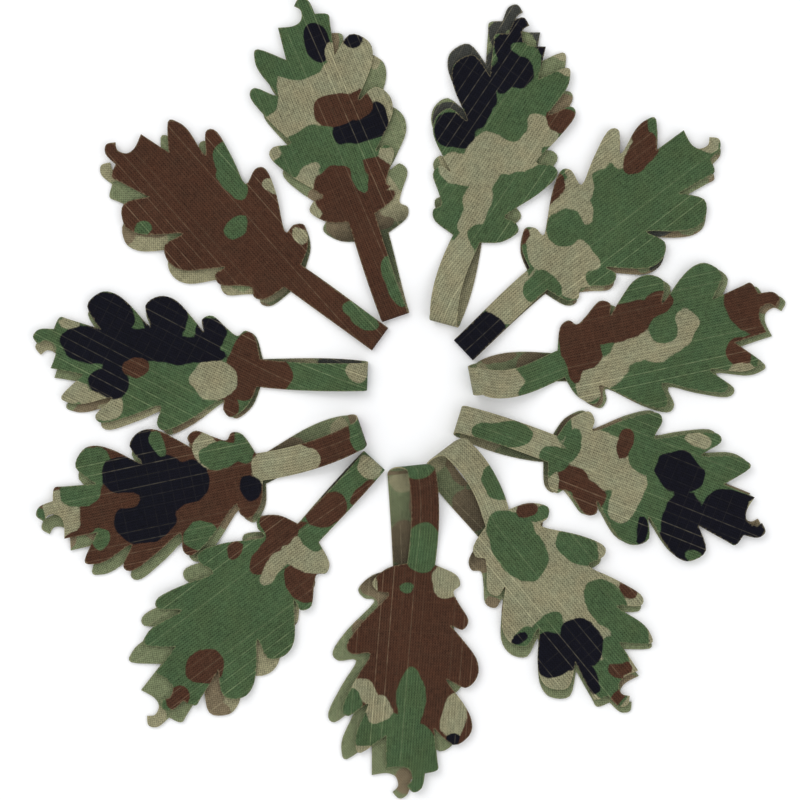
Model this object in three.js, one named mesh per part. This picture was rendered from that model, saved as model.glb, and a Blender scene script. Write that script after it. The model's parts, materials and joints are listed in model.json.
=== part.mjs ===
// A set of eleven camouflage leaf strips, the garnish that is tied all over a ghillie suit.
//
// Each strip is one piece of ripstop cloth: an oak-leaf blade, a narrow strap, and a second blade.
// The strap is folded back at its middle, so the second blade lies under the first, and the strap
// is left as a soft loop. The eleven strips lie in a ring, folds to the middle and tips outwards.
// Each strip is built here as three closed solids: the upper leaf, the fold and the lower leaf.
//
// Millimetres, +Z up. The origin is the middle of the set's own box, on the surface it lies on.
import * as THREE from "three";

// ---- driving dimensions -------------------------------------------------------------------
const cloth = 0.5; // thickness of the cloth
const strap_width = 10.6;
const blade_length = 86.5; // from the strap to the tip
const blade_width = 50.5; // across the two widest lobes
const seam_gap = 0.3; // between two solids of one strip where the real cloth runs on
const leaf_gap = 0.3; // between the lower blade and the upper blade that rests on it
const leg_spare = 38.5; // strap from the fold to the blade, before each strip's own difference
const blade_clearance = 4.3; // between the widest places of the two blades that lie nearest
const fold_stagger = 1.8; // staggered folds may lie this much nearer than a strap's width
const lift_end = 0.9; // share of the strap over which the upper leg comes down to the blade
const widest_share = 0.64; // the widest lobes lie this share of the way up the blade
const crease_reach = 0.9; // a flat crease reaches this far along the strap
const loop_reach = 0.3; // and a loop reaches this much further for each mm of its crest
const square_share = 0.25; // share of the strap over which it swings from square to its course

// ---- the leaf's outline -------------------------------------------------------------------
// Points of the pattern as cut: first across (the broad-lobed side is negative), then up from the
// strap. Every run is a smooth curve through its points, and two runs meet in a corner.
const pattern = { length: 84, width: 49, strap: 5.3 };
const broad_side = [
  [-12.5, 2.3], [-17.5, 7.6], [-15.2, 11.0], [-11.4, 12.2], [-20.5, 22.8], [-25.5, 31.2],
  [-23.2, 34.6], [-16.7, 34.2], [-21.3, 43.3], [-25.8, 54.0], [-23.2, 57.4], [-16.3, 52.4],
  [-19.8, 62.3], [-20.1, 67.6], [-17.9, 70.7], [-9.1, 63.8],
];
const notch = [[-8.4, 76.0], [-3.0, 74.9], [0.4, 76.0], [1.5, 79.4], [-0.4, 81.7]];
const tip = [[-0.4, 81.7], [2.3, 84.0], [5.3, 82.0], [6.1, 76.8]];
const shoulder = [[6.1, 76.8], [10.6, 75.2], [10.3, 71.4], [8.4, 60.0]];
const narrow_side = [
  [8.4, 60.0], [16.0, 65.7], [21.7, 61.6], [22.0, 56.2], [18.6, 50.2], [11.8, 41.8],
  [19.0, 44.5], [23.2, 39.9], [22.4, 33.4], [16.0, 25.8], [12.5, 22.0], [16.7, 23.2],
  [18.6, 19.4], [14.8, 13.7], [12.5, 9.5], [14.8, 6.8], [12.9, 3.0],
];
const curve_steps = 2; // outline points for each point of a run
const strap_steps = 10; // stations along each leg of the strap
const fold_steps = 10; // stations round the fold

// ---- the strips ---------------------------------------------------------------------------
// fold: the fold's place, as an angle round the ring and a distance beyond the ring's own radius.
// heading: the way the strap runs, in degrees from +X. leg: strap from the fold to the blade,
// beyond leg_spare. turn: how far the upper blade turns from the strap's heading. crest: the
// clear height inside the loop. broad: the side its broad lobes lie on, seen from above.
// Each leg of the strap is [sideways shift at the fold, angle leaving the fold, angle reaching
// the blade], and the lower blade lies out by slip, sideways by drift and turned by twist.
const strips = [
  { name: "strip_01", broad: "left", fold: [103.5, 1.6], heading: 108.8, leg: 1.5, turn: -1.3,
    crest: 2.2, upper: [0.3, 2, -2], lower: [-0.3, -2, -3], slip: -8.5, drift: -2.5, twist: 0 },
  { name: "strip_02", broad: "right", fold: [62.4, 1.4], heading: 75.0, leg: -5.0, turn: -1.1,
    crest: 4.4, upper: [0.8, 14, -12], lower: [-0.8, -9, 8], slip: 4.5, drift: 0, twist: 2.5 },
  { name: "strip_03", broad: "left", fold: [34.0, -1.2], heading: 43.5, leg: 0.9, turn: -4.1,
    crest: 2.0, upper: [0, 0, -4], lower: [0, 0, -4], slip: -1.5, drift: -0.6, twist: -1 },
  { name: "strip_04", broad: "right", fold: [3.6, -2.5], heading: 10.9, leg: -3.4, turn: 4.2,
    crest: 7.5, upper: [-0.6, -30, 13], lower: [1.0, 22, -12], slip: 2.0, drift: -1.9, twist: 0 },
  { name: "strip_05", broad: "left", fold: [-36.9, -3.0], heading: -17.4, leg: -0.7, turn: -2.3,
    crest: 5.2, upper: [0.6, 3, -4], lower: [-1.2, -10, 12], slip: -1.8, drift: -0.4, twist: 1 },
  { name: "strip_06", broad: "left", fold: [-63.2, 2.4], heading: -52.7, leg: -5.4, turn: -0.8,
    crest: 7.5, upper: [4.0, 10, -24], lower: [-6.0, -5, 3], slip: 2.4, drift: -4.6, twist: 2.6 },
  { name: "strip_07", broad: "right", fold: [-90.8, 5.8], heading: -84.0, leg: -0.8, turn: -9.5,
    crest: 5.8, upper: [3.9, 4, -14], lower: [-3.9, -2, -4], slip: 2.0, drift: -5.6, twist: 0 },
  { name: "strip_08", broad: "right", fold: [-116.5, 7.2], heading: -132.4, leg: -1.2, turn: 1.2,
    crest: 2.2, upper: [0.2, 2, -1], lower: [-0.2, -2, 2], slip: 8.5, drift: 0.4, twist: 0 },
  { name: "strip_09", broad: "left", fold: [-137.0, 0.9], heading: -160.8, leg: 3.0, turn: -5.3,
    crest: 7.5, upper: [1.4, 8, -11], lower: [-2.2, -15, 8], slip: -0.5, drift: 1.6, twist: 2.5 },
  { name: "strip_10", broad: "left", fold: [169.0, -7.6], heading: 178.2, leg: 3.0, turn: -5.8,
    crest: 4.0, upper: [0.4, 3, -5], lower: [-0.6, -5, 3], slip: -1.2, drift: 0, twist: 2.6 },
  { name: "strip_11", broad: "right", fold: [124.8, -3.6], heading: 144.0, leg: 2.5, turn: -0.7,
    crest: 2.0, upper: [0, 0, 0], lower: [0, 0, 2], slip: -2.5, drift: 0, twist: 5 },
];

// The cloth's four printed colours, and the strips whose upper leaf shows mostly that colour.
const print_colours = { green: 0x4f6b3c, brown: 0x553527, khaki: 0x968b6a, black: 0x1f1f2c };
const main_colour = {
  strip_01: "khaki", strip_02: "black", strip_03: "green", strip_04: "green", strip_05: "khaki",
  strip_06: "khaki", strip_07: "brown", strip_08: "green", strip_09: "black", strip_10: "black",
  strip_11: "brown",
};

// ---- sizes worked out from those above ----------------------------------------------------
// The ring is as small as its nearest neighbours allow: two strips spread from each other both by
// the places of their folds and by their headings.
const radians = THREE.MathUtils.degToRad;
const spread = (a, b) => 2 * Math.sin(radians((a - b + 360) % 360) / 2);
const neighbours = strips.map((strip, i) => [strip, strips[(i + 1) % strips.length]]);
const widest_station = leg_spare + widest_share * blade_length; // from the fold to the widest lobes
const ring_for_blades = neighbours.map(([a, b]) => {
  const spread_by_heading = spread(a.heading, b.heading) * widest_station;
  return (blade_width + blade_clearance - spread_by_heading) / spread(a.fold[0], b.fold[0]);
});
const ring_for_straps = neighbours.map(([a, b]) =>
  (strap_width - fold_stagger) / spread(a.fold[0], b.fold[0]));
const ring_radius = Math.max(...ring_for_blades, ...ring_for_straps);
const upper_rest = cloth + leaf_gap; // underside of an upper blade

function cloth_material(colour) {
  const color = print_colours[colour];
  return new THREE.MeshStandardMaterial({ color, roughness: 0.9, metalness: 0 });
}

// Smooth curve through a run of points, without its last point.
function smooth_run(points) {
  const curve = new THREE.SplineCurve(points.map(([x, y]) => new THREE.Vector2(x, y)));
  return curve.getPoints((points.length - 1) * curve_steps).slice(0, -1);
}

// The blade's outline from one strap edge to the other: x is up the blade, y is to its left.
function blade_outline(broad) {
  const half = strap_width / 2;
  const across = blade_width / pattern.width;
  const along = blade_length / pattern.length;
  const join = ([x, y]) => [x * (half / pattern.strap / across), y];
  const runs = [
    smooth_run([join([-pattern.strap, 0]), ...broad_side]),
    [new THREE.Vector2(...broad_side.at(-1))],
    smooth_run(notch),
    smooth_run(tip),
    smooth_run(shoulder),
    smooth_run([...narrow_side, join([pattern.strap, 0])]),
    [new THREE.Vector2(...join([pattern.strap, 0]))],
  ];
  const side = broad === "left" ? -1 : 1;
  return runs.flat().map((p) => new THREE.Vector2(p.y * along, side * p.x * across));
}

// The middle line of one leg of the strap, from the fold to its blade, as a Bezier curve.
function leg_curve(start_x, [shift, leaving, reaching], base) {
  const pull = (base.x - start_x) / 3;
  return new THREE.CubicBezierCurve(
    new THREE.Vector2(start_x, shift),
    new THREE.Vector2(start_x + pull, shift + pull * Math.tan(radians(leaving))),
    new THREE.Vector2(base.x - pull, base.y - pull * Math.tan(radians(reaching))),
    base,
  );
}

// The two edges of a leg: half a strap either side of its middle line. The first station stays
// square to the fold, and the last is left to the blade.
function leg_edges(curve) {
  const left = [];
  const right = [];
  for (let i = 0; i < strap_steps; i++) {
    const share = i / strap_steps;
    const point = curve.getPoint(share);
    const tangent = curve.getTangent(share);
    const swing = Math.atan2(tangent.y, tangent.x) * Math.min(1, share / square_share);
    const across = new THREE.Vector2(-Math.sin(swing), Math.cos(swing));
    left.push(point.clone().addScaledVector(across, strap_width / 2));
    right.push(point.clone().addScaledVector(across, -strap_width / 2));
  }
  return { left, right };
}

// A closed sheet of cloth: the ring of its outline in plan, the triangles that fill the ring, and
// the height of its underside over each place.
function sheet_solid(ring, triangles, height) {
  const size = ring.length;
  const corners = [];
  for (const lift of [0, cloth]) {
    for (const p of ring) corners.push(p.x, p.y, height(p.x) + lift);
  }
  const index = [];
  for (const [a, b, c] of triangles) index.push(c, b, a, a + size, b + size, c + size);
  for (let i = 0; i < size; i++) {
    const next = (i + 1) % size;
    index.push(i, next, next + size, i, next + size, i + size);
  }
  const solid = new THREE.BufferGeometry();
  solid.setAttribute("position", new THREE.Float32BufferAttribute(corners, 3));
  solid.setIndex(index);
  solid.computeVertexNormals();
  return solid;
}

// One leaf: its blade and its leg of the strap cut from one sheet, and lifted by height(x). The
// ring runs out along the right edge of the leg, round the blade and back along the left edge.
function leaf_geometry(strip, leg, base, turn, start_x, height) {
  const { left, right } = leg_edges(leg_curve(start_x, leg, base));
  const blade = blade_outline(strip.broad).map((p) =>
    p.rotateAround(new THREE.Vector2(0, 0), radians(turn)).add(base));
  if (strip.broad === "left") blade.reverse();
  const ring = [...right, ...blade, ...left.toReversed()];
  const last = ring.length - 1;
  const triangles = THREE.ShapeUtils.triangulateShape(blade, [])
    .map((face) => face.map((corner) => corner + right.length));
  for (let i = 0; i < strap_steps; i++) {
    triangles.push([i, i + 1, last - i - 1], [i, last - i - 1, last - i]);
  }
  return sheet_solid(ring, triangles, height);
}

// How far the fold reaches along the strap: a high loop is rounder, a flat one is a tight crease.
function fold_reach(strip) {
  return crease_reach + loop_reach * strip.crest;
}

// The fold: the cloth bent half round, from the lower leg up and back to the upper leg. Its two
// legs leave it side by side when the loop is skewed, so every layer shifts with its height.
function fold_geometry(strip) {
  const reach = fold_reach(strip);
  const outer_height = (strip.crest + 2 * cloth) / 2;
  const inner_height = strip.crest / 2;
  const profile = new THREE.Shape();
  const bend = (rx, ry, from, to, clockwise) =>
    new THREE.EllipseCurve(reach, outer_height, rx, ry, from, to, clockwise).getPoints(fold_steps);
  const outer = bend(reach, outer_height, -Math.PI / 2, Math.PI / 2, true);
  const inner = bend(reach - cloth, inner_height, Math.PI / 2, -Math.PI / 2, false);
  profile.setFromPoints([...outer, ...inner]);
  const band = new THREE.ExtrudeGeometry(profile, { depth: strap_width, bevelEnabled: false });
  band.rotateX(Math.PI / 2); // the profile's height turns to +Z, and its depth to -Y
  band.translate(0, strap_width / 2, 0);
  const position = band.attributes.position;
  for (let i = 0; i < position.count; i++) {
    const share = position.getZ(i) / (2 * outer_height);
    const shift = THREE.MathUtils.lerp(strip.lower[0], strip.upper[0], share);
    position.setY(i, position.getY(i) + shift);
  }
  return band;
}

// Underside of the upper leg: as high as the loop at the fold, easing down onto the lower leaf.
function upper_height(strip, leg_start, base_x) {
  const top = strip.crest + cloth;
  return (x) => {
    const share = (x - leg_start) / ((base_x - leg_start) * lift_end);
    return THREE.MathUtils.lerp(top, upper_rest, THREE.MathUtils.smoothstep(share, 0, 1));
  };
}

// One strip in its own place: x runs out along its strap from the fold, y is to its left.
function build_strip(strip) {
  const leg_start = fold_reach(strip) + seam_gap;
  const upper_base = new THREE.Vector2(leg_spare + strip.leg, 0);
  const lower_base = new THREE.Vector2(leg_spare + strip.leg + strip.slip, strip.drift);
  const upper = leaf_geometry(strip, strip.upper, upper_base, strip.turn, leg_start,
    upper_height(strip, leg_start, upper_base.x));
  const lower = leaf_geometry(strip, strip.lower, lower_base, strip.turn + strip.twist, leg_start,
    () => 0);
  const pieces = { upper_leaf: upper, fold: fold_geometry(strip), lower_leaf: lower };
  const group = new THREE.Group();
  for (const [piece, geometry] of Object.entries(pieces)) {
    const mesh = new THREE.Mesh(geometry, cloth_material(main_colour[strip.name]));
    mesh.name = `${strip.name}_${piece}`;
    group.add(mesh);
  }
  const [angle, beyond] = strip.fold;
  const distance = ring_radius + beyond;
  group.position.set(distance * Math.cos(radians(angle)), distance * Math.sin(radians(angle)), 0);
  group.rotation.z = radians(strip.heading);
  return group;
}

const ring = new THREE.Group();
for (const strip of strips) ring.add(build_strip(strip));

// Put the middle of the set's box over the origin.
const leaf_strips = new THREE.Group();
leaf_strips.add(ring);
leaf_strips.updateMatrixWorld(true);
const middle = new THREE.Box3().setFromObject(leaf_strips, true).getCenter(new THREE.Vector3());
ring.position.set(-middle.x, -middle.y, 0);

export default leaf_strips;
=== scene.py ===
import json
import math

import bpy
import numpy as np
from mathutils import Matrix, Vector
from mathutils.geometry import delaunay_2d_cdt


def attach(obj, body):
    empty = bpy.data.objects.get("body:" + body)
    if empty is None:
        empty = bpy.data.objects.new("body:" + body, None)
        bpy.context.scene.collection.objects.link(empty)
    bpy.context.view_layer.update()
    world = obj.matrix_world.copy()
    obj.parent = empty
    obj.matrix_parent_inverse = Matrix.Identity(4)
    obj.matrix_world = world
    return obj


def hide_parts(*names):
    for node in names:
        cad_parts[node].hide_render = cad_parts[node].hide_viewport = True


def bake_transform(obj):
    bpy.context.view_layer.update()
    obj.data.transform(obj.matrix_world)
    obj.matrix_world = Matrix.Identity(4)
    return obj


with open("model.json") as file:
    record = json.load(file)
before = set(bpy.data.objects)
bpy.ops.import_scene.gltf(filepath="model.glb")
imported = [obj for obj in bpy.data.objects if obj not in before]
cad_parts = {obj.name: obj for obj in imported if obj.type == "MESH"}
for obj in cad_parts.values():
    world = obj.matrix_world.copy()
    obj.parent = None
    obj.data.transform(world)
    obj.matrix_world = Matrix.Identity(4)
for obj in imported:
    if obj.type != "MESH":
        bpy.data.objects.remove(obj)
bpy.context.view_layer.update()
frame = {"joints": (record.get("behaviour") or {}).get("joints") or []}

# A set of eleven camouflage leaf strips, the garnish that is tied all over a ghillie suit.
#
# Each strip is one piece of printed ripstop cloth: an oak-leaf blade, a narrow strap and a second
# blade. It is folded at the middle of its strap, printed side out, so that the lower blade shows
# its paler back where it sticks out from under the upper one. Sizes here are millimetres, and
# each mesh is written in metres.

MM = 0.001
CLOTH = 0.5            # thickness of the cloth
STRAP_WIDTH = 10.6
BLADE_LENGTH = 86.5    # from the strap to the tip
BLADE_WIDTH = 50.5
LEG_SPARE = 38.5       # strap from the fold to the blade, before each strip's own difference
SEAM_GAP = 0.3         # straight cloth between the bend and the seam of two pieces
LEAF_GAP = 0.3         # between the lower blade and the upper one
LIFT_END = 0.9         # share of the strap over which the upper leg comes down to the blade
CREASE_REACH = 0.9     # a flat crease reaches this far along the strap
LOOP_REACH = 0.3       # and a loop this much further for each mm of its crest
SQUARE_SHARE = 0.25    # share of the strap over which it swings from square to its course

LEG_ROWS = 24          # rows of points along a leg of the strap
LEG_SHARE = 0.92       # the last row stops short of the blade, which may be turned on its strap
STRAP_COLUMNS = 9      # points across the strap
FOLD_ROWS = 28         # rows of points round a fold
OUTLINE_STEP = 4       # outline points for each point of the pattern
FIELD_STEP = 1.7       # spacing of the points inside a blade
EDGE_CLEAR = 0.9       # least distance of those points from the cut edge
PAINTED_SHADE_END = 12       # up the blade to where the painted shade on the lower leaf's back ends
SHARP_ANGLE = 50       # degrees from which an edge of the cloth is shaded sharp
SEAM_MATCH = 0.01      # points this near to the seam's line are on it
INSIDE_ONLY, SAME_POINT = 1, 1e-6   # how the plan is filled: inside its ring, with every point kept

# ---- the leaf's pattern ---------------------------------------------------------------------
# Points as cut: across (the broad-lobed side is negative), then up from the strap.
PATTERN_LENGTH, PATTERN_WIDTH = 84.0, 49.0
BROAD_SIDE = [
    (-12.5, 2.3), (-17.5, 7.6), (-15.2, 11.0), (-11.4, 12.2), (-20.5, 22.8), (-25.5, 31.2),
    (-23.2, 34.6), (-16.7, 34.2), (-21.3, 43.3), (-25.8, 54.0), (-23.2, 57.4), (-16.3, 52.4),
    (-19.8, 62.3), (-20.1, 67.6), (-17.9, 70.7), (-9.1, 63.8),
]
NOTCH = [(-8.4, 76.0), (-3.0, 74.9), (0.4, 76.0), (1.5, 79.4), (-0.4, 81.7)]
TIP = [(-0.4, 81.7), (2.3, 84.0), (5.3, 82.0), (6.1, 76.8)]
SHOULDER = [(6.1, 76.8), (10.6, 75.2), (10.3, 71.4), (8.4, 60.0)]
NARROW_SIDE = [
    (8.4, 60.0), (16.0, 65.7), (21.7, 61.6), (22.0, 56.2), (18.6, 50.2), (11.8, 41.8),
    (19.0, 44.5), (23.2, 39.9), (22.4, 33.4), (16.0, 25.8), (12.5, 22.0), (16.7, 23.2),
    (18.6, 19.4), (14.8, 13.7), (12.5, 9.5), (14.8, 6.8), (12.9, 3.0),
]

# ---- the strips -----------------------------------------------------------------------------
# broad: the side the broad lobes lie on. leg, turn, crest, upper, lower, slip, drift, twist: how
# the strap and the two blades lie, as in the solid model. weave: how far the threads lean to
# the right of the leaf's own length, in degrees. back: whose print the lower leaf carries.
# ground: the colour between the patches. patches: each one's colour, its middle to the right of
# and up from the strap's end, its half width and half height, and its turn in degrees, anticlockwise.
STRIPS = {
    "strip_01": dict(
        broad="left", leg=1.5, turn=-1.3, crest=2.2, upper=(0.3, 2, -2), lower=(-0.3, -2, -3),
        slip=-8.5, drift=-2.5, twist=0, weave=-6, back="strip_04", ground="khaki", patches=[
            ("green", -4, 74, 18, 17, 0), ("green", -22, 58, 7, 12, -15), ("black", 4, 68, 5, 8, 0),
            ("khaki", 8, 63, 3, 4, 0), ("black", 17, 66, 4, 4, -30), ("green", 19, 27, 7, 5, 0),
            ("green", -11, 30, 15, 9, 0), ("green", 4, 26, 12, 9, 0), ("khaki", -25, 33, 3, 2, 0),
            ("black", 10, 33, 11, 6, 0), ("black", 17, 36, 4, 5, 0), ("brown", 3, 42, 9, 6, 0),
            ("brown", 12, 41, 5, 6, 0), ("khaki", -14, 23, 5, 2, 20), ("brown", -6, 13, 9, 9, 0),
            ("brown", 10, 14, 7, 7, 0), ("brown", 0, 2, 17, 7, 0), ("green", 4, 18, 3, 9, 0),
            ("brown", 0, -20, 8, 32, 0), ("green", 5, -27, 4.5, 10, 0),
        ],
    ),
    "strip_02": dict(
        broad="right", leg=-5.0, turn=-1.1, crest=4.4, upper=(0.8, 14, -12), lower=(-0.8, -9, 8),
        slip=4.5, drift=0, twist=2.5, weave=18, back="strip_02", ground="green", patches=[
            ("black", -5, 76, 5, 8, 0), ("black", 2, 83, 11, 8, 0), ("black", 9, 77, 6, 5, 0),
            ("green", 1, 75, 5, 2.5, 0), ("green", 9, 72, 6, 2, -15), ("black", 1, 66, 7, 6, 0),
            ("black", -4, 63, 5, 7, 0), ("black", -15, 59, 8, 11, 10), ("black", -9, 50, 5, 9, 0),
            ("black", -16, 38, 8, 7, 0), ("khaki", 19, 72, 4, 3, 0), ("khaki", 15, 46, 8, 6, -10),
            ("khaki", 10, 37, 8, 10, -30), ("khaki", -2, 30, 8, 12, 0), ("khaki", -9, 24, 9, 6, 0),
            ("green", 5, 46, 5, 6, 0), ("brown", 22, 53, 6, 5, 0), ("green", 13, 20, 8, 10, 0),
            ("khaki", 0, 12, 5, 13, 0), ("green", -10, 11, 5, 8, 30), ("khaki", 0, -20, 8, 22, 0),
            ("green", 5, 2, 5, 5, 0),
        ],
    ),
    "strip_03": dict(
        broad="left", leg=0.9, turn=-4.1, crest=2.0, upper=(0, 0, -4), lower=(0, 0, -4),
        slip=-1.5, drift=-0.6, twist=-1, weave=2, back="strip_09", ground="green", patches=[
            ("khaki", -1, 83, 6, 5, 0), ("khaki", -20, 56, 9, 7, -20), ("khaki", -23, 45, 6, 12, 0),
            ("khaki", -16, 32, 6, 8, 20), ("khaki", -19, 22, 5, 12, 0), ("brown", -21, 66, 8, 4, -30),
            ("brown", -12, 60, 5, 9, 15), ("khaki", 0, 10, 17, 9, 0), ("khaki", 4, 18, 8, 5, 0),
            ("khaki", -10, 28, 6, 5, 30), ("green", -9, 20, 7, 7, 0), ("brown", -23, 25, 4, 7, 20),
            ("brown", -17, 5, 3, 4, 0),
            ("green", 14, 17, 4, 4, 0), ("khaki", -1, -12, 8, 12, 0), ("green", 4, 1, 7, 4, 0),
            ("green", 2, -4, 4, 5, 0), ("black", 1, -35, 9, 14, 0),
        ],
    ),
    "strip_04": dict(
        broad="right", leg=-3.4, turn=4.2, crest=7.5, upper=(-0.6, -30, 13), lower=(1.0, 22, -12),
        slip=2.0, drift=-1.9, twist=0, weave=3, back="strip_08", ground="green", patches=[
            ("brown", -4, 78, 14, 12, 0), ("brown", 13, 66, 6, 4, 0), ("khaki", 20, 66, 3, 5, 0),
            ("khaki", 3, 44, 4, 9, 20), ("khaki", -3, 50, 5, 4, 0), ("khaki", 4, 36, 5, 6, 0),
            ("khaki", 1, 29, 6, 11, 15), ("khaki", 7, 16, 6, 10, 15), ("khaki", 11, 9, 6, 6, 0),
            ("green", -2, 41, 5.5, 5.5, 0), ("brown", -12, 40, 4, 8, 20), ("brown", -9, 28, 7, 12, 10),
            ("brown", -12, 18, 9, 8, 0), ("brown", -6, 9, 11, 8, 0), ("brown", 3, 4, 6, 3, 0),
            ("khaki", 0, -28, 9, 13, 0), ("green", 5, -10, 5, 9, 0),
        ],
    ),
    "strip_05": dict(
        broad="left", leg=-0.7, turn=-2.3, crest=5.2, upper=(0.6, 3, -4), lower=(-1.2, -10, 12),
        slip=-1.8, drift=-0.4, twist=1, weave=2, back="strip_04", ground="green", patches=[
            ("black", 1, 74, 10, 14, 0), ("black", 8, 55, 10, 8, 0), ("black", 18, 58, 7, 9, 0),
            ("black", 10, 64, 10, 8, 0), ("khaki", -4, 80, 4, 2.5, 30), ("green", 20, 64, 3, 3, 0),
            ("black", -8, 48, 7.5, 9.5, 0),
            ("khaki", -22, 51, 3, 5, 0), ("black", 18, 42, 6, 2.5, 15), ("khaki", 6, 32, 13, 6, 0),
            ("khaki", -2, 17, 11, 16, 0), ("khaki", -14, 8, 6, 5, 0), ("green", -9, 34, 7, 6, 0),
            ("brown", -11, 25, 6, 3.5, 0), ("brown", 13, 19, 7, 6, 20), ("brown", 8, 10, 5, 6, 0),
            ("khaki", 14, 4, 6, 3, 0), ("green", -3, 6, 7, 3.5, 0), ("khaki", 0, -20, 8, 26, 0),
            ("green", 3, 2, 5, 6, 0), ("green", 1, -20, 5, 12, 15),
        ],
    ),
    "strip_06": dict(
        broad="left", leg=-5.4, turn=-0.8, crest=7.5, upper=(4.0, 10, -24), lower=(-6.0, -5, 3),
        slip=2.4, drift=-4.6, twist=2.6, weave=-3, back="strip_08", ground="khaki", patches=[
            ("green", 3, 76, 6, 10, 0), ("brown", 3, 82, 4, 2.5, 0), ("brown", -4, 73, 5, 4, 0),
            ("khaki", -4, 80, 3, 4, 0), ("black", 8, 68, 3, 8, 0), ("green", -15, 64, 7, 9, 0),
            ("green", -14, 51, 7, 11, 0), ("green", -7, 67, 6, 6, 0), ("brown", -24, 51, 3, 4, 0),
            ("green", 9, 45, 7, 5, 0), ("green", 18, 43, 6, 4, 0), ("black", 20, 42, 4, 2, 0),
            ("black", 2, 57, 7.5, 9.5, 0), ("black", 14, 54, 8, 9, 0), ("green", -18, 27, 6, 9, 20),
            ("green", 0, 13, 9.5, 15, 0), ("green", -14, 8, 5, 3, 0), ("brown", -11, 4, 4, 3, 0),
            ("green", -5, -12, 6, 7, 0),
        ],
    ),
    "strip_07": dict(
        broad="right", leg=-0.8, turn=-9.5, crest=5.8, upper=(3.9, 4, -14), lower=(-3.9, -2, -4),
        slip=2.0, drift=-5.6, twist=0, weave=1, back="strip_08", ground="brown", patches=[
            ("green", -1, 76, 13, 16, 0), ("green", 1, 52, 5.5, 13, 0), ("green", 13, 64, 11, 8, 0),
            ("khaki", 17, 75, 7, 5, 0), ("khaki", 13, 56, 5, 5.5, 0), ("khaki", 19, 49, 5, 4, -30),
            ("green", 24, 54, 5, 6, 0), ("khaki", -16, 57, 5, 9, 0), ("black", -16, 66, 3, 2, 0),
            ("green", 5, 9, 3, 2, 0), ("khaki", -10, 6, 6, 6, 0), ("khaki", 21, 10, 5, 5, 0),
            ("green", 0, -6, 7, 10, 0), ("green", 2, -38, 8, 5, 0),
        ],
    ),
    "strip_08": dict(
        broad="right", leg=-1.2, turn=1.2, crest=2.2, upper=(0.2, 2, -1), lower=(-0.2, -2, 2),
        slip=8.5, drift=0.4, twist=0, weave=12, back="strip_03", ground="green", patches=[
            ("brown", -4, 79, 4, 5, 0), ("brown", -4, 64, 7, 7, 0), ("brown", -12, 15, 9, 7, 0),
            ("brown", 6, 13, 5, 13, 0), ("brown", 17, 23, 3, 4, 0), ("khaki", 1, 16, 3, 10, 0),
            ("khaki", -5, 7, 10, 6, 20), ("brown", 10, 6, 7, 6, 0), ("green", -2, 1, 6, 3, 0),
            ("brown", 1, -11, 6, 9, -20), ("brown", -5, -26, 2.5, 6, 0), ("khaki", 0, -34, 5, 4, 0),
        ],
    ),
    "strip_09": dict(
        broad="left", leg=3.0, turn=-5.3, crest=7.5, upper=(1.4, 8, -11), lower=(-2.2, -15, 8),
        slip=-0.5, drift=1.6, twist=2.5, weave=2, back="strip_08", ground="brown", patches=[
            ("khaki", 1, 77, 9, 7, 0), ("khaki", -12, 84, 5, 6, 0), ("green", 3, 88, 4, 5, 0),
            ("green", 7, 68, 6, 8, 0), ("green", 15, 61, 8, 8, 0), ("green", -12, 65, 4, 4, 0),
            ("black", -9, 47, 9, 12, 0), ("black", 3, 38, 12, 11, 0), ("black", 10, 52, 7, 7, 0),
            ("black", 18, 40, 7, 6, 0), ("black", 1, 28, 8, 9, 0), ("brown", 0, 54, 3.5, 8, 0),
            ("green", 18, 35, 5, 3, 0), ("khaki", 11, 18, 7, 5, 0), ("green", 8, 13, 5, 8, 0),
            ("green", 9, 4, 7, 4, 0), ("green", -20, 28, 5, 7, 0), ("khaki", -1, -10, 8, 13, 0),
            ("black", -7, 5, 5, 4.5, 0), ("green", 2, -40, 9, 3, 0),
        ],
    ),
    "strip_10": dict(
        broad="left", leg=3.0, turn=-5.8, crest=4.0, upper=(0.4, 3, -5), lower=(-0.6, -5, 3),
        slip=-1.2, drift=0, twist=2.6, weave=20, back="strip_03", ground="green", patches=[
            ("khaki", -16, 71, 5, 8, 0), ("khaki", -20, 57, 6, 8, 0), ("khaki", 9, 74, 2.5, 4, 0),
            ("black", 2, 65, 7, 11, 0), ("black", 5, 42, 6, 29, 0), ("black", 15, 59, 8, 10, -20),
            ("black", 17, 38, 8, 9, 0), ("black", 13, 20, 6, 6, 0), ("black", -11, 56, 6, 8, 0),
            ("black", -4, 55, 5, 5, 0), ("brown", -4, 46, 4, 5, 0), ("brown", 2, 5, 14, 7, 0),
            ("brown", -14, 10, 4, 4, 0), ("khaki", -5, 16, 7.5, 9, 0), ("brown", 0, -5, 8, 8, 0),
            ("khaki", 3, -38, 5, 4, 0),
        ],
    ),
    "strip_11": dict(
        broad="right", leg=2.5, turn=-0.7, crest=2.0, upper=(0, 0, 0), lower=(0, 0, 2),
        slip=-2.5, drift=0, twist=5, weave=12, back="strip_03", ground="brown", patches=[
            ("green", 2, 28, 5, 4, 0), ("green", -20, 56, 4, 3, 0), ("green", 19, 45, 9, 5, 50),
            ("green", 14, 38, 4, 6, 0), ("khaki", 22, 27, 2.5, 4, 0), ("khaki", 14, 7, 3, 4, 0),
            ("green", 4, 86, 3, 2, 0), ("green", 3, -30, 4, 8, 0),
        ],
    ),
}
COLOURS = ("khaki", "green", "brown", "black")
PRINTED, BACK, RIM = 0, 1, 2   # the marks of the cloth's printed side, its back and its cut edge

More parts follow.
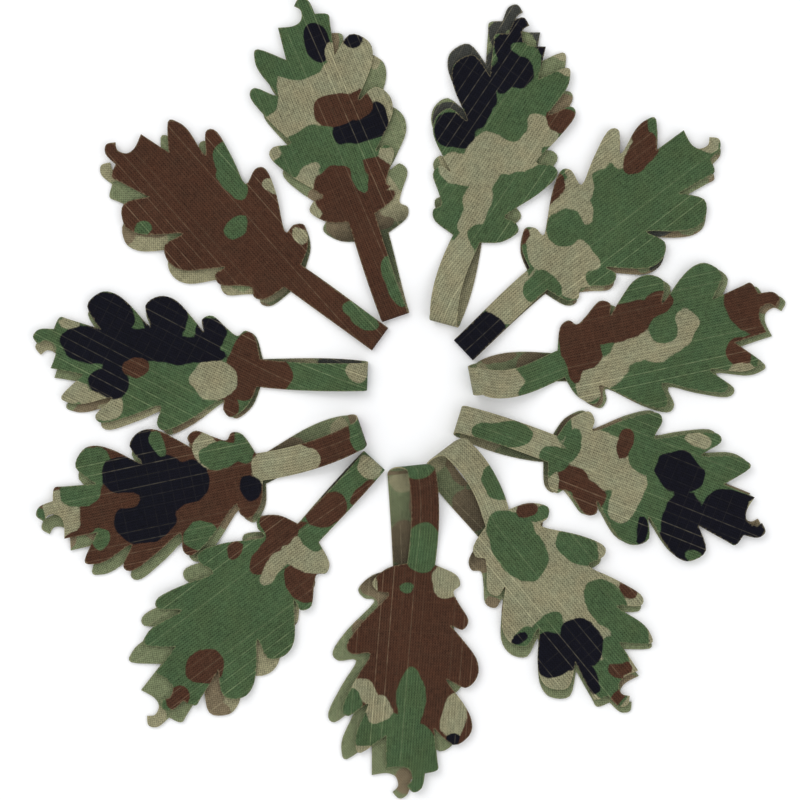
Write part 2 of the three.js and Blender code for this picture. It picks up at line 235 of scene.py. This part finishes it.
# How the borders of the patches wander to the right and up: how far in mm, over what length in
# mm, and a step that tells the waves apart.
WANDER_ACROSS = ((1.1, 13, 0), (0.4, 5, 3))
WANDER_UP = ((1.1, 14, 7), (0.4, 6, 5))
WAVE_SIZES = np.array([1.0, 0.83, 0.69, 1.27])
WAVE_TURN = 2.4        # radians from one wave's course to the next
WAVE_OFFSET = 1.7      # a wave's start, in radians for each radian of its course
DEEP = 30.0            # mm; as deep inside a colour as any place counts
PATCH_CORE = 0.05      # share of a patch round its middle where the depth is its least half width
TINY = 1e-12           # keeps a division away from zero

# How the cloth ripples: half height in mm, length of a ripple in mm, and a step as above.
GROUND_RIPPLE, LIFT_RIPPLE = (0.35, 42, 0), (0.35, 34, 20)
LOBE_CURL, TIP_CURL = (0.9, 21, 11), (0.8, 30, 5)
RIPPLE_GROWS = 30      # mm up the blade over which the ripples grow
TIP_START, TIP_RUN = 66, 22   # mm up the blade to where the tip starts to rise, and over how much


# ---- curves and outlines --------------------------------------------------------------------
def smooth_run(points):
    """Catmull-Rom curve: between points 1 and 2 it is the cubic that leaves along (2 - 0) / 2 and
    arrives along (3 - 1) / 2. Returned without its last point."""
    p = np.asarray(points, float)
    p0, p1, p2, p3 = p[[0, *range(len(p) - 2)]], p[:-1], p[1:], p[[*range(2, len(p)), -1]]
    t = (np.arange(OUTLINE_STEP) / OUTLINE_STEP)[None, :, None]
    p0, p1, p2, p3 = (q[:, None, :] for q in (p0, p1, p2, p3))
    leave, arrive = (p2 - p0) / 2, (p3 - p1) / 2
    curve = ((2 * p1 - 2 * p2 + leave + arrive) * t**3
             + (3 * p2 - 3 * p1 - 2 * leave - arrive) * t**2 + leave * t + p1)
    return curve.reshape(-1, 2)


def blade_outline(side):
    """The blade's cut edge from one strap edge to the other: x up the blade, y to its left.
    side is -1 where the broad lobes lie on the left, and 1 where they lie on the right."""
    across, along = BLADE_WIDTH / PATTERN_WIDTH, BLADE_LENGTH / PATTERN_LENGTH
    neck = STRAP_WIDTH / 2 / across
    runs = [
        smooth_run([(-neck, 0), *BROAD_SIDE]), BROAD_SIDE[-1:], smooth_run(NOTCH), smooth_run(TIP),
        smooth_run(SHOULDER), smooth_run([*NARROW_SIDE, (neck, 0)]), [(neck, 0)],
    ]
    points = np.vstack([np.asarray(run, float) for run in runs])
    return np.stack([points[:, 1] * along, points[:, 0] * across * side], 1)


def leg_line(start, shape, base, share):
    """Middle line of a leg at each share of its length, and its direction: a cubic Bezier from
    the fold, sideways by shift and leaving at one angle, to the blade's base at another."""
    shift, leaving, reaching = shape
    pull = (base[0] - start) / 3
    points = np.array([
        (start, shift), (start + pull, shift + pull * math.tan(math.radians(leaving))),
        (base[0] - pull, base[1] - pull * math.tan(math.radians(reaching))), base,
    ])
    t = share[:, None]
    weights = np.hstack([(1 - t)**3, 3 * t * (1 - t)**2, 3 * t**2 * (1 - t), t**3])
    slopes = np.hstack([-3 * (1 - t)**2, 3 * (1 - t) * (1 - 3 * t), 3 * t * (2 - 3 * t), 3 * t**2])
    along = slopes @ points
    return weights @ points, np.arctan2(along[:, 1], along[:, 0])


def length_along(points):
    """How far each point of a line lies along it: the sum of the straight steps before it."""
    return np.concatenate([[0], np.cumsum(np.hypot(*np.diff(points, axis=0).T))])


def edge_distance(points, ring):
    """Distance from each point to a closed ring: the least of its distances to the nearest place
    on each side, held between the side's two ends."""
    side = np.roll(ring, -1, 0) - ring
    gap = points[:, None] - ring[None]
    t = np.clip((gap * side).sum(2) / np.maximum((side**2).sum(1), TINY), 0, 1)
    return np.sqrt(((gap - t[..., None] * side)**2).sum(2).min(1))


def inside(points, ring):
    """Whether a line from each point out to one side crosses the ring an odd number of times."""
    x, y = points[:, :1], points[:, 1:]
    x1, y1 = ring.T
    x2, y2 = np.roll(ring, -1, 0).T
    spans = (y1 > y) != (y2 > y)
    with np.errstate(divide="ignore", invalid="ignore"):
        crossing = x1 + (y - y1) * (x2 - x1) / (y2 - y1)
    return (spans & (x < crossing)).sum(1) % 2 == 1


def smoothstep(share):
    """0 to 1, easing in and out: three times the square less twice the cube."""
    t = np.clip(share, 0, 1)
    return t * t * (3 - 2 * t)


# ---- the print ------------------------------------------------------------------------------
def wander(x, y, size, seed):
    """Smooth wandering between -1 and 1: the mean of four sines of about one size, which cross
    each other."""
    turns = WAVE_TURN * np.arange(len(WAVE_SIZES)) + seed
    waves = 2 * math.pi / (size * WAVE_SIZES)
    return sum(
        np.sin(wave * (x * math.cos(turn) + y * math.sin(turn)) + WAVE_OFFSET * turn + seed)
        for wave, turn in zip(waves, turns)
    ) / len(WAVE_SIZES)


def print_fields(name, across, up):
    """For each colour, how deep inside that colour a place lies, in mm, negative outside. The
    patches are ellipses painted one over the other, with their edges wandering a little: the
    depth is the ellipse's own ratio less one, over the slope of that ratio. across runs to the
    right and up toward the tip, on a leaf held tip up with its print to the eye."""
    strip = STRIPS[name]
    seed = int(name[-2:])
    x, y = (
        start + sum(far * wander(across, up, size, seed + step) for far, size, step in waves)
        for start, waves in ((across, WANDER_ACROSS), (up, WANDER_UP))
    )
    fields = {colour: np.full(len(x), -DEEP) for colour in COLOURS}
    fields[strip["ground"]][:] = DEEP
    for colour, cx, cy, rx, ry, turn in strip["patches"]:
        c, s = math.cos(math.radians(turn)), math.sin(math.radians(turn))
        u, v = (x - cx) * c + (y - cy) * s, (y - cy) * c - (x - cx) * s
        ratio = np.sqrt((u / rx)**2 + (v / ry)**2)
        slope = np.sqrt((u / rx**2)**2 + (v / ry**2)**2)
        depth = ratio * (1 - ratio) / np.maximum(slope, TINY)
        depth = np.clip(np.where(ratio > PATCH_CORE, depth, min(rx, ry)), -DEEP, DEEP)
        for other in COLOURS:
            if other == colour:
                fields[other] = np.maximum(fields[other], depth)
            else:
                fields[other] = np.minimum(fields[other], -depth)
    return fields


# ---- the cloth ------------------------------------------------------------------------------
def cloth_mesh(name, lower_side, upper_side, faces, rim, cut, sides, marks):
    """A closed sheet from its two sides, which share faces, and the wall round its rim: each rim
    side and the one above it make a four-cornered face. cut says which rim sides are cut edges;
    sides are the marks of the side below and the side above. marks are float attributes of the
    points."""
    count = len(lower_side)
    after = np.roll(rim, -1)
    walls = np.stack([rim, after, after + count, rim + count], 1)
    corners = np.concatenate([faces[:, ::-1].ravel(), (faces + count).ravel(), walls.ravel()])
    sizes = np.concatenate([np.full(2 * len(faces), faces.shape[1]), np.full(len(walls), 4)])
    mesh = bpy.data.meshes.new(name)
    mesh.vertices.add(2 * count)
    mesh.vertices.foreach_set("co", (np.vstack([lower_side, upper_side]) * MM).ravel())
    mesh.loops.add(len(corners))
    mesh.loops.foreach_set("vertex_index", corners.astype(np.int32))
    mesh.polygons.add(len(sizes))
    starts = np.concatenate([[0], np.cumsum(sizes)[:-1]])
    mesh.polygons.foreach_set("loop_start", starts.astype(np.int32))
    mesh.update(calc_edges=True)
    mesh.shade_smooth()
    mesh.set_sharp_from_angle(angle=math.radians(SHARP_ANGLE))
    side = np.concatenate([
        np.full(len(faces), sides[0]), np.full(len(faces), sides[1]), np.where(cut, RIM, PRINTED),
    ])
    mesh.attributes.new("cloth_side", "FLOAT", "FACE").data.foreach_set(
        "value", side.astype(np.float32))
    for key, values in marks.items():
        mesh.attributes.new(key, "FLOAT", "POINT").data.foreach_set(
            "value", np.tile(values, 2).astype(np.float32))
    piece = bpy.data.objects.new(name, mesh)
    bpy.context.scene.collection.objects.link(piece)
    mesh.materials.append(ripstop)
    return piece


def cloth_marks(print_name, weave, across, up, edge):
    """The float attributes of a sheet: the print, the threads' own coordinates, which are across
    and up turned by the weave's lean, and the distance from the cut edge."""
    fields = print_fields(print_name, across, up)
    c, s = math.cos(math.radians(weave)), math.sin(math.radians(weave))
    marks = {f"print_{colour}": fields[colour] for colour in COLOURS}
    marks["weft_mm"] = across * c - up * s
    marks["warp_mm"] = up * c + across * s
    marks["edge_mm"] = edge
    # painted shade for the back, 0 unless the piece sets it
    marks["painted_shade"] = np.zeros(len(up))
    return marks


def fold_reach(strip):
    """How far a fold reaches along the strap."""
    return CREASE_REACH + LOOP_REACH * strip["crest"]


def strip_place(name):
    """The strip's own frame in the set, its origin and the cosine and sine of its heading. Its
    hinge's axis lies square to the strap, and the hinge lies short of the fold's reach by half
    the bend's length, which is Ramanujan's length of half an ellipse."""
    joint = next(j for j in frame["joints"] if j["name"] == f"{name}_unfold")
    sine, cosine = joint["axis"][0], -joint["axis"][1]
    strip = STRIPS[name]
    reach, rise = fold_reach(strip) - CLOTH / 2, (strip["crest"] + CLOTH) / 2
    bend = math.pi * (3 * (reach + rise) - math.sqrt((3 * reach + rise) * (reach + 3 * rise))) / 2
    hinge = fold_reach(strip) - bend / 2
    x, y = joint["pos_m"][0] / MM - hinge * cosine, joint["pos_m"][1] / MM - hinge * sine
    return x, y, cosine, sine


def placed(place, x, y, z):
    """Points of a strip's own frame, turned and moved to where the strip lies in the set."""
    ox, oy, cosine, sine = place
    return np.stack([ox + x * cosine - y * sine, oy + x * sine + y * cosine, z], 1)


def leaf_field(outline):
    """Rows of points over the blade, every other row shifted by half a step, kept off the edge."""
    low, high = outline.min(0), outline.max(0)
    rows = np.arange(low[0], high[0], FIELD_STEP * math.sqrt(3) / 2)
    columns = np.arange(low[1], high[1], FIELD_STEP)
    x, y = np.meshgrid(rows, columns, indexing="ij")
    y = y + (np.arange(len(rows)) % 2)[:, None] * FIELD_STEP / 2
    points = np.stack([x.ravel(), y.ravel()], 1)
    points = points[inside(points, outline)]
    return points[edge_distance(points, outline) > EDGE_CLEAR]


def ripple(kind, number, up, aside):
    """One ripple of the cloth: its half height times one plus the wandering."""
    half_height, size, step = kind
    return half_height * (1 + wander(up, aside, size, number + step))


def flutter(number, up, aside):
    """How the cloth ripples: the lower blade's height, and how much more the upper one rises. Both
    are 0 at the strap and grow up the blade. The lobes curl up with the square of their distance
    from the rib, and the tip rises over its last stretch."""
    grow = smoothstep(up / RIPPLE_GROWS)
    off_rib = np.abs(aside) / (BLADE_WIDTH / 2)
    ground = ripple(GROUND_RIPPLE, number, up, aside) * grow
    lift = ripple(LIFT_RIPPLE, number, up, aside) * grow
    curl = ripple(LOBE_CURL, number, up, aside) * off_rib**2 * grow
    tip = ripple(TIP_CURL, number, up, aside) * smoothstep((up - TIP_START) / TIP_RUN)
    return ground, lift + curl + tip


def filled(plan, ring):
    """Triangles that fill a ring of points and take in every point inside it, facing up."""
    found = delaunay_2d_cdt(plan.tolist(), [], [ring.tolist()], INSIDE_ONLY, SAME_POINT)
    faces = np.array(found[3])[:, 0][np.array(found[2])]
    a, b, c = (plan[faces[:, i]] for i in range(3))
    twice_area = np.cross(b - a, c - a)
    faces[twice_area < 0] = faces[twice_area < 0][:, ::-1]
    return faces, 0.5 * np.abs(twice_area).sum()


def leaf_piece(name, layer):
    """One blade with its leg of the strap, cut from one sheet. The leg is rows of points square to
    its middle line, and the blade is its outline with a field of points inside, turned and moved
    to the leg's end. The height is the ripples', and on the upper leaf the top of the loop too,
    which eases down along the strap to rest on the lower blade."""
    strip = STRIPS[name]
    place = strip_place(name)
    side = -1 if strip["broad"] == "left" else 1
    upper = layer == "upper"
    start = fold_reach(strip) + SEAM_GAP
    upper_base = np.array([LEG_SPARE + strip["leg"], 0.0])
    base = upper_base if upper else upper_base + (strip["slip"], strip["drift"])
    turn = math.radians(strip["turn"] + (0 if upper else strip["twist"]))
    rotate = np.array([[math.cos(turn), math.sin(turn)], [-math.sin(turn), math.cos(turn)]])

    share = np.linspace(0, LEG_SHARE, LEG_ROWS)
    middle, angle = leg_line(start, strip[layer], base, share)
    swing = angle * np.clip(share / SQUARE_SHARE, 0, 1)
    half = np.linspace(0.5, -0.5, STRAP_COLUMNS) * STRAP_WIDTH
    square = np.stack([-np.sin(swing), np.cos(swing)], 1)
    leg = middle[:, None] + half[None, :, None] * square[:, None, :]
    run = length_along(np.vstack([middle, base]))

    outline = blade_outline(side)
    if side < 0:
        outline = outline[::-1]
    blade = np.vstack([outline, leaf_field(outline)])
    plan = np.vstack([leg.reshape(-1, 2), blade @ rotate + base])
    up = np.concatenate([np.repeat(run[:-1] - run[-1], STRAP_COLUMNS), blade[:, 0]])
    aside = np.concatenate([np.tile(half, LEG_ROWS), blade[:, 1]])

    # the ring runs out along the right edge, round the blade, back along the left edge and
    # across the seam
    grid = np.arange(LEG_ROWS * STRAP_COLUMNS).reshape(LEG_ROWS, STRAP_COLUMNS)
    ring = np.concatenate([
        grid[:, -1], grid.size + np.arange(len(outline)), grid[::-1, 0], grid[0, 1:-1],
    ])
    faces, area = filled(plan, ring)
    cut = np.ones(len(ring), bool)
    cut[-(STRAP_COLUMNS - 1):] = False
    edge = edge_distance(plan, plan[ring[:-(STRAP_COLUMNS - 2)]])
    on_seam = np.abs(plan[:, 0] - start) < SEAM_MATCH
    edge[on_seam] = STRAP_WIDTH / 2 - np.abs(aside[on_seam])

    height, extra = flutter(int(name[-2:]), up, aside)
    if upper:
        top, rest = strip["crest"] + CLOTH, CLOTH + LEAF_GAP
        fall = smoothstep((plan[:, 0] - start) / ((base[0] - start) * LIFT_END))
        height = top + (rest - top) * fall + height + extra
    marks = cloth_marks(name if upper else strip["back"], strip["weave"], -aside, up, edge)
    if not upper:
        # painted shade: the lower leg's back is drawn darker the further it runs in under the upper
        # leaf
        marks["painted_shade"] = np.where(
            up < 0, smoothstep(1 + up / LEG_SPARE), 1 - smoothstep(up / PAINTED_SHADE_END))
    piece = cloth_mesh(
        f"{name}_{layer}_leaf_cloth", placed(place, *plan.T, height),
        placed(place, *plan.T, height + CLOTH), faces, ring, cut,
        (BACK, PRINTED) if upper else (PRINTED, BACK), marks)
    return piece, area, run[-1] + BLADE_LENGTH


def fold_piece(name, leg_length):
    """The bend: half an ellipse from the lower leg up and over to the upper leg, carried across
    the strap, and shifted sideways with its height where the two legs lie side by side. Returned
    with the middle of its lower and its upper seam, in metres. leg_length is the upper leg's."""
    strip = STRIPS[name]
    place = strip_place(name)
    reach, rise = fold_reach(strip), (strip["crest"] + 2 * CLOTH) / 2
    start, top = reach + SEAM_GAP, 2 * rise
    turn = np.linspace(-math.pi / 2, math.pi / 2, FOLD_ROWS)
    outer, inner = (
        np.vstack([
            [start, skin],
            np.stack([reach - (reach - skin) * np.cos(turn), rise + (rise - skin) * np.sin(turn)], 1),
            [start, top - skin],
        ])
        for skin in (0, CLOTH)
    )
    share = np.concatenate([[0], (1 + np.sin(turn)) / 2, [1]])
    shift = strip["lower"][0] + (strip["upper"][0] - strip["lower"][0]) * share
    half = np.linspace(-0.5, 0.5, STRAP_COLUMNS) * STRAP_WIDTH
    rows = len(share)
    y = (shift[:, None] + half[None]).ravel()
    inner_side, outer_side = (
        placed(place, np.repeat(line[:, 0], STRAP_COLUMNS), y, np.repeat(line[:, 1], STRAP_COLUMNS))
        for line in (inner, outer)
    )

    grid = np.arange(rows * STRAP_COLUMNS).reshape(rows, STRAP_COLUMNS)
    faces = np.stack([grid[:-1, :-1], grid[1:, :-1], grid[1:, 1:], grid[:-1, 1:]], -1).reshape(-1, 4)
    rim = np.concatenate([grid[0, :0:-1], grid[:, 0], grid[-1, 1:], grid[-2:0:-1, -1]])
    cut = np.tile(np.repeat([False, True], [STRAP_COLUMNS - 1, rows - 1]), 2)
    bend = length_along((outer + inner) / 2)
    up = np.repeat(bend - bend[-1] - leg_length, STRAP_COLUMNS)
    aside = np.tile(half, rows)
    marks = cloth_marks(name, strip["weave"], -aside, up, STRAP_WIDTH / 2 - np.abs(aside))
    piece = cloth_mesh(
        f"{name}_fold_cloth", inner_side, outer_side, faces, rim, cut, (BACK, PRINTED), marks)
    seams = placed(place, np.full(2, start), np.zeros(2), np.array([CLOTH, top - CLOTH])) * MM
    return piece, seams[0], seams[1]


# ---- materials ------------------------------------------------------------------------------
def linear(code):
    """The linear colour of an sRGB hex value, by the sRGB curve."""
    value = np.array([int(code[i:i + 2], 16) for i in (1, 3, 5)]) / 255
    value = np.where(value <= 0.04045, value / 12.92, ((value + 0.055) / 1.055)**2.4)
    return (*value.tolist(), 1.0)


def add(tree, kind, inputs, **settings):
    """Adds one node with its settings. Each input is a value, an output that is linked to it, or
    a node whose first output is."""
    node = tree.nodes.new(kind)
    for key, value in settings.items():
        setattr(node, key, value)
    for socket, value in inputs.items():
        if isinstance(value, bpy.types.Node):
            value = value.outputs[0]
        if isinstance(value, bpy.types.NodeSocket):
            tree.links.new(value, node.inputs[socket])
        else:
            node.inputs[socket].default_value = value
    return node


MATH, MIX, VECTOR_MATH = "ShaderNodeMath", "ShaderNodeMix", "ShaderNodeVectorMath"
NOISE, MAP_RANGE, MARK = "ShaderNodeTexNoise", "ShaderNodeMapRange", "ShaderNodeAttribute"
FACTOR, FIRST, SECOND, MIXED = 0, 6, 7, 2   # the colour sockets of a Mix node


def shading(tree, patterns):
    """One plus the sum of each pattern's distance from its middle value times its depth."""
    shade = 1.0
    for pattern, depth, middle in patterns:
        part = add(tree, MATH, {0: pattern, 1: depth, 2: -depth * middle}, operation="MULTIPLY_ADD")
        shade = add(tree, MATH, {0: shade, 1: part}, operation="ADD")
    return shade


def ripstop_cotton():
    """Ripstop cotton-polyester, plain woven, roller printed and matte: small slubs in the threads,
    and heavier threads that stand a little proud and take less ink, some more than others. The
    back is unprinted, so the print only shows through it, and a raw cut edge is paler."""
    thread = 1.05            # mm; the real threads are 0.4 mm apart, drawn coarser so that they show
    grid = 4.0               # mm between the heavier threads; the real ones are about 8 mm apart
    grid_width = 0.3         # mm
    cross_strength = 0.12    # of the heavier threads that run across
    inks = {"khaki": "#898469", "green": "#45583a", "brown": "#472d20", "black": "#0c0c16"}
    through = {"khaki": "#8a8669", "green": "#6e7657", "brown": "#726650", "black": "#3b3c38"}
    raw_edge, grid_thread = "#b5a982", "#c4b996"
    warm_tint, cool_tint, tint_share = "#fff2e8", "#e4fbff", 0.8
    fuzz_scale, fuzz = 1.3, 1.1        # per mm, and the mm by which a printed border is fuzzy
    border_slope = 1.1                 # how soon one ink gives way to the next, per mm
    slub_long, slub_short = 0.35, 2.6  # per mm along a thread and across it
    wear_scale, wear_low, wear_high = 0.35, 0.36, 0.62   # per mm, and where worn and whole begin
    worn_share, whole_gain = 0.25, 0.6
    fade_scale, tint_scale = 0.045, 0.11                 # per mm
    fray_scale, fray, fray_reach = 0.9, 1.6, 0.4         # per mm, then mm
    fray_share, rim_share = 0.22, 0.55
    printed_line, back_line = 0.2, 0.3                   # how much of its own colour a line shows
    painted_shade_depth = 0.7                                  # painted shade on the lower leg's back, drawn darker as the light is very soft
    weave_height, line_height = 0.5, 1.2                 # beside the slubs' own height
    weave_depth, row_depth, slub_depth, fade_depth = 0.3, 0.16, 1.3, 0.5   # light and dark in front
    back_weave_depth, back_slub_depth = 0.4, 1.2                           # and on the back
    near_mark = 0.3                                      # a side's mark is matched this closely

    material = bpy.data.materials.new("printed_ripstop_cotton")
    material.use_nodes = True
    tree = material.node_tree
    tree.nodes.clear()
    prints = [f"print_{colour}" for colour in COLOURS]
    marks = {
        mark: add(tree, MARK, {}, attribute_name=mark).outputs["Fac"]
        for mark in ("weft_mm", "warp_mm", "cloth_side", "edge_mm", "painted_shade", *prints)
    }
    weft, warp = marks["weft_mm"], marks["warp_mm"]
    threads = add(tree, "ShaderNodeCombineXYZ", {0: weft, 1: warp})
    border, wear, fade, tint, ragged = (
        add(tree, NOISE, {"Vector": threads, "Scale": scale, "Detail": detail})
        for scale, detail in (
            (fuzz_scale, 2.0), (wear_scale, 3.0), (fade_scale, 2.0), (tint_scale, 2.0),
            (fray_scale, 2.0))
    )

    # the ink: each place takes the colour that it lies deepest inside, with fuzzy borders
    border = add(tree, MATH, {0: border, 1: fuzz, 2: -fuzz / 2}, operation="MULTIPLY_ADD")
    ground, *others = COLOURS
    colour, back = linear(inks[ground]), linear(through[ground])
    deepest = marks[f"print_{ground}"]
    for ink in others:
        depth = add(tree, MATH, {0: marks[f"print_{ink}"], 1: border}, operation="ADD")
        lead = add(tree, MATH, {0: depth, 1: deepest}, operation="SUBTRACT")
        share = add(tree, MATH, {0: lead, 1: border_slope, 2: 0.5}, operation="MULTIPLY_ADD",
                    use_clamp=True)
        colour, back = (
            add(tree, MIX, {FACTOR: share, FIRST: under, SECOND: linear(over)},
                data_type="RGBA").outputs[MIXED]
            for under, over in ((colour, inks[ink]), (back, through[ink]))
        )
        deepest = add(tree, MATH, {0: depth, 1: deepest}, operation="MAXIMUM")

    # the weave: over and under, and slubs along the threads of both ways
    per_mm = 2 * math.pi / thread
    over, under = (
        add(tree, MATH, {0: add(tree, MATH, {0: run, 1: per_mm}, operation="MULTIPLY")},
            operation="SINE")
        for run in (weft, warp)
    )
    weave = add(tree, MATH, {0: over, 1: under}, operation="MULTIPLY")
    lengthwise, crosswise = (
        add(tree, NOISE, {
            "Vector": add(tree, VECTOR_MATH, {0: threads, 1: stretch}, operation="MULTIPLY"),
            "Scale": 1.0, "Detail": 3.0})
        for stretch in ((slub_short, slub_long, 1.0), (slub_long, slub_short, 1.0))
    )
    slubs = add(tree, MATH, {0: lengthwise, 1: crosswise}, operation="ADD")

    # the heavier threads of the ripstop grid: plain along the cloth, faint across it, no two alike,
    # and worn away here and there
    lines = []
    for run, strength in ((weft, 1.0), (warp, cross_strength)):
        count = add(tree, MATH, {0: run, 1: grid}, operation="DIVIDE")
        part = add(tree, MATH, {0: count}, operation="FRACT")
        part = add(tree, MATH, {0: part, 1: 0.5}, operation="SUBTRACT")
        part = add(tree, MATH, {0: part}, operation="ABSOLUTE")
        line = add(tree, MAP_RANGE, {
            "Value": part, "From Min": 0.0, "From Max": grid_width / grid, "To Min": 1.0,
            "To Max": 0.0}, interpolation_type="SMOOTHSTEP")
        number = add(tree, MATH, {0: count}, operation="FLOOR")
        own = add(tree, "ShaderNodeTexWhiteNoise", {"W": number}, noise_dimensions="1D")
        own = add(tree, MATH, {0: own, 1: strength}, operation="MULTIPLY")
        lines.append(add(tree, MATH, {0: line, 1: own}, operation="MULTIPLY"))
    line = add(tree, MATH, {0: lines[0], 1: lines[1]}, operation="MAXIMUM")
    whole = add(tree, MAP_RANGE, {"Value": wear, "From Min": wear_low, "From Max": wear_high})
    whole = add(tree, MATH, {0: whole, 1: whole_gain, 2: worn_share}, operation="MULTIPLY_ADD")
    line_share = add(tree, MATH, {0: line, 1: whole}, operation="MULTIPLY")

    # the printed side: the ink drifts between a warmer and a cooler tint, and fades in places
    warmth = add(tree, MIX, {
        FACTOR: tint, FIRST: linear(warm_tint), SECOND: linear(cool_tint)}, data_type="RGBA")
    colour = add(tree, MIX, {
        FACTOR: tint_share, FIRST: colour, SECOND: warmth.outputs[MIXED]},
        data_type="RGBA", blend_type="MULTIPLY").outputs[MIXED]
    shade = shading(tree, (
        (weave, weave_depth, 0.0), (over, row_depth, 0.0), (slubs, slub_depth, 1.0),
        (fade, fade_depth, 0.5), (line_share, 1.0, 0.0)))
    front = add(tree, VECTOR_MATH, {0: colour, "Scale": shade}, operation="SCALE")

    # the back: the print shows through pale, with the cross weave plain to see, and painted shade
    # where the lower leg runs in under the upper leaf
    back_shade = shading(tree, (
        (weave, back_weave_depth, 0.0), (slubs, back_slub_depth, 1.0)))
    # painted shade: darker where the lower leg's back runs in under the upper leaf
    light = shading(tree, ((marks["painted_shade"], -painted_shade_depth, 0.0),))
    back_shade = add(tree, MATH, {0: back_shade, 1: light}, operation="MULTIPLY")
    back = add(tree, VECTOR_MATH, {0: back, "Scale": back_shade}, operation="SCALE")

    front, back = (
        add(tree, MIX, {
            FACTOR: add(tree, MATH, {0: line_share, 1: shown}, operation="MULTIPLY"),
            FIRST: cloth, SECOND: linear(grid_thread)}, data_type="RGBA").outputs[MIXED]
        for cloth, shown in ((front, printed_line), (back, back_line))
    )
    is_back, is_rim = (
        add(tree, MATH, {0: marks["cloth_side"], 1: mark, 2: near_mark}, operation="COMPARE")
        for mark in (BACK, RIM)
    )
    cloth = add(tree, MIX, {FACTOR: is_back, FIRST: front, SECOND: back}, data_type="RGBA")

    # the raw edge, where the threads' pale cores show
    ragged = add(tree, MATH, {0: ragged, 1: fray, 2: -fray / 2}, operation="MULTIPLY_ADD")
    from_edge = add(tree, MATH, {0: marks["edge_mm"], 1: ragged}, operation="ADD")
    frayed = add(tree, MAP_RANGE, {
        "Value": from_edge, "From Min": 0.0, "From Max": fray_reach, "To Min": fray_share,
        "To Max": 0.0})
    rim = add(tree, MATH, {0: is_rim, 1: rim_share}, operation="MULTIPLY")
    pale = add(tree, MATH, {0: frayed, 1: rim}, operation="MAXIMUM")
    final = add(tree, MIX, {
        FACTOR: pale, FIRST: cloth.outputs[MIXED], SECOND: linear(raw_edge)}, data_type="RGBA")

    relief = add(tree, MATH, {0: weave, 1: weave_height}, operation="MULTIPLY")
    proud = add(tree, MATH, {0: line, 1: line_height}, operation="MULTIPLY")
    relief = add(tree, MATH, {0: relief, 1: proud}, operation="ADD")
    relief = add(tree, MATH, {0: relief, 1: slubs}, operation="ADD")
    bump = add(tree, "ShaderNodeBump", {
        "Strength": 0.6, "Distance": 0.12 * MM, "Height": relief})
    shader = add(tree, "ShaderNodeBsdfPrincipled", {
        "Base Color": final.outputs[MIXED], "Roughness": 0.9, "Specular IOR Level": 0.1,
        "Sheen Weight": 0.03, "Sheen Roughness": 0.6, "Normal": bump})
    add(tree, "ShaderNodeOutputMaterial", {"Surface": shader})
    return material


ripstop = ripstop_cotton()

# ---- the strips -----------------------------------------------------------------------------
for name in sorted(STRIPS):
    upper, upper_area, upper_length = leaf_piece(name, "upper")
    lower, lower_area, lower_length = leaf_piece(name, "lower")
    fold, fold_start, fold_end = fold_piece(name, upper_length - BLADE_LENGTH)
    for piece, node in ((upper, "upper_leaf"), (lower, "lower_leaf"), (fold, "fold")):
        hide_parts(f"{name}_{node}")
    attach(upper, f"{name}_upper")
    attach(lower, f"{name}_lower")
    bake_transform(fold)

# ---- floor, light and camera ----------------------------------------------------------------
FLOOR_SIZE = 6.0       # m
FLOOR_DROP = 0.0002    # m under the cloth, so that the two don't lie in one plane
VIEW_WIDTH = 0.304     # m of floor across the picture
VIEW_HEIGHT = 1.3      # m above the floor
VIEW_MIDDLE = (-0.0036, -0.0005)  # m; the ring's middle lies a little to the right of it
SENSOR = 36.0          # mm
SKY_STRENGTH = 0.85
SOFT_BOXES = {         # place in m, side in m, power in W
    "window_light": ((-0.9, 0.9, 1.5), 1.2, 11.0),
    "fill_light": ((1.2, -0.6, 1.4), 1.4, 5.0),
}

backdrop = bpy.data.materials.new("white_paper")
backdrop.use_nodes = True
paper = backdrop.node_tree.nodes["Principled BSDF"]
paper.inputs["Base Color"].default_value = linear("#fdfdfd")
paper.inputs["Roughness"].default_value = 0.9
corner = FLOOR_SIZE / 2
floor_mesh = bpy.data.meshes.new("floor")
floor_mesh.from_pydata(
    [(-corner, -corner, 0), (corner, -corner, 0), (corner, corner, 0), (-corner, corner, 0)],
    [], [(0, 1, 2, 3)])
floor_mesh.materials.append(backdrop)
floor = bpy.data.objects.new("floor", floor_mesh)
floor.location.z = -FLOOR_DROP
bpy.context.scene.collection.objects.link(floor)

sky = bpy.data.worlds.new("soft_daylight")
sky.use_nodes = True
daylight = sky.node_tree.nodes["Background"]
daylight.inputs["Color"].default_value = linear("#f8f9fb")
daylight.inputs["Strength"].default_value = SKY_STRENGTH
bpy.context.scene.world = sky

# square soft boxes that face the middle of the set
for name, (spot, size, power) in SOFT_BOXES.items():
    light = bpy.data.lights.new(name, "AREA")
    light.size, light.energy = size, power
    holder = bpy.data.objects.new(name, light)
    holder.location = spot
    holder.rotation_euler = (-Vector(spot)).to_track_quat("-Z", "Y").to_euler()
    bpy.context.scene.collection.objects.link(holder)

lens = bpy.data.cameras.new("camera")
lens.sensor_width = SENSOR
lens.lens = SENSOR * VIEW_HEIGHT / VIEW_WIDTH
lens.clip_start = 0.01
camera = bpy.data.objects.new("camera", lens)
camera.location = (*VIEW_MIDDLE, VIEW_HEIGHT)
bpy.context.scene.collection.objects.link(camera)
bpy.context.scene.camera = camera
bpy.context.scene.view_settings.view_transform = "Standard"
